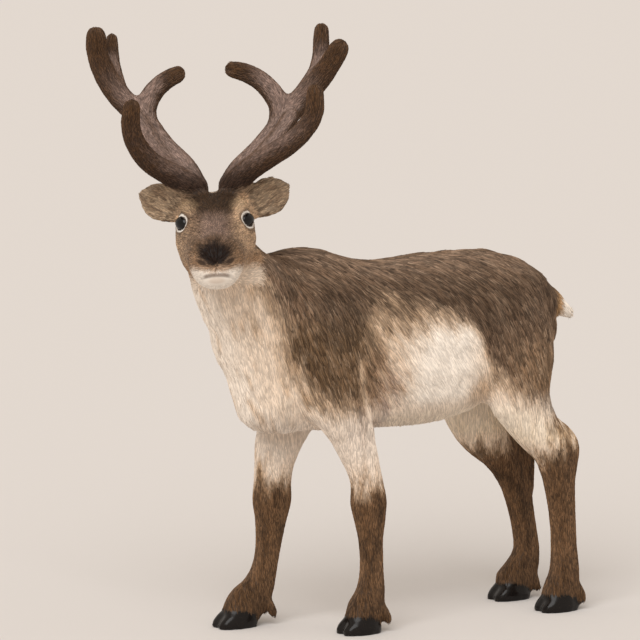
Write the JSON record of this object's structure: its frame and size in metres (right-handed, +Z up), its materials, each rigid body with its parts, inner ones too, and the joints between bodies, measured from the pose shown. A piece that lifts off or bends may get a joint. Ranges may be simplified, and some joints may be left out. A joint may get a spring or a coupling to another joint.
{
  "type": "reindeer figurine",
  "caption": "Standing reindeer figurine moulded in one piece of soft plastic, head turned to its left, with branching antlers in velvet, cloven hooves and a carved coat.",
  "frame": {"origin": "on the ground, under the middle of the figurine's box", "axes": "+Z up; the animal faces -Y and its left side is +X"},
  "size_m": [0.0482, 0.1162, 0.1336],
  "materials": {
    "painted_plastic": "soft moulded plastic, hand painted in browns and cream with a satin lacquer on hooves and eyes"
  },
  "bodies": {
    "root": {"reindeer": "painted_plastic"}
  },
  "joints": []
}
